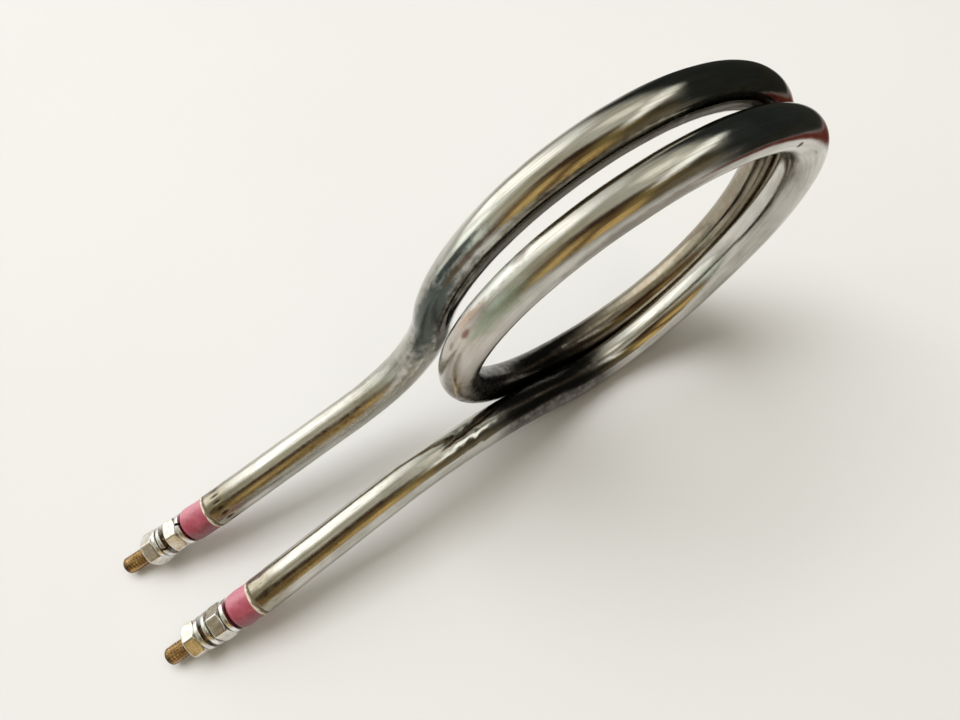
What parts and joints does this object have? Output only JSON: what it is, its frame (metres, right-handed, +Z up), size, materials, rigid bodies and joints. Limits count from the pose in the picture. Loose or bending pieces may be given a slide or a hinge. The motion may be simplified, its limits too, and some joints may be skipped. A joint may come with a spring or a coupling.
{
  "type": "tubular heating element",
  "caption": "Bent metal-sheathed electric heating tube: a coil standing on edge with straight legs side by side, each leg ending in a sealed screw terminal with nuts and washers.",
  "frame": {"origin": "on the surface the element stands on, under the middle of its box", "axes": "+X runs along the legs from the terminals to the coil, Y is close to the coil axis, +Z is up"},
  "size_m": [0.1621, 0.0378, 0.0852],
  "materials": {
    "sheath": "polished stainless steel",
    "magnesia": "compacted white mineral powder",
    "winding": "oxidised resistance wire",
    "stud": "tarnished plated steel, brownish gold",
    "bead": "cream sealing compound",
    "seal": "dusty pink silicone rubber, satin",
    "washer": "bright zinc plate",
    "nut": "nickel plate, slightly warm"
  },
  "bodies": {
    "root": {"sheath_tube": "sheath", "magnesia_fill": "magnesia", "resistance_coil": "winding", "terminal_pin_a": "stud", "seal_bead_a": "bead", "end_seal_a": "seal", "inner_spring_washer_a": "washer", "inner_nut_a": "nut", "flat_washer_a": "washer", "outer_spring_washer_a": "washer", "outer_nut_a": "nut", "terminal_pin_b": "stud", "seal_bead_b": "bead", "end_seal_b": "seal", "inner_spring_washer_b": "washer", "inner_nut_b": "nut", "flat_washer_b": "washer", "outer_spring_washer_b": "washer", "outer_nut_b": "nut"}
  },
  "joints": []
}
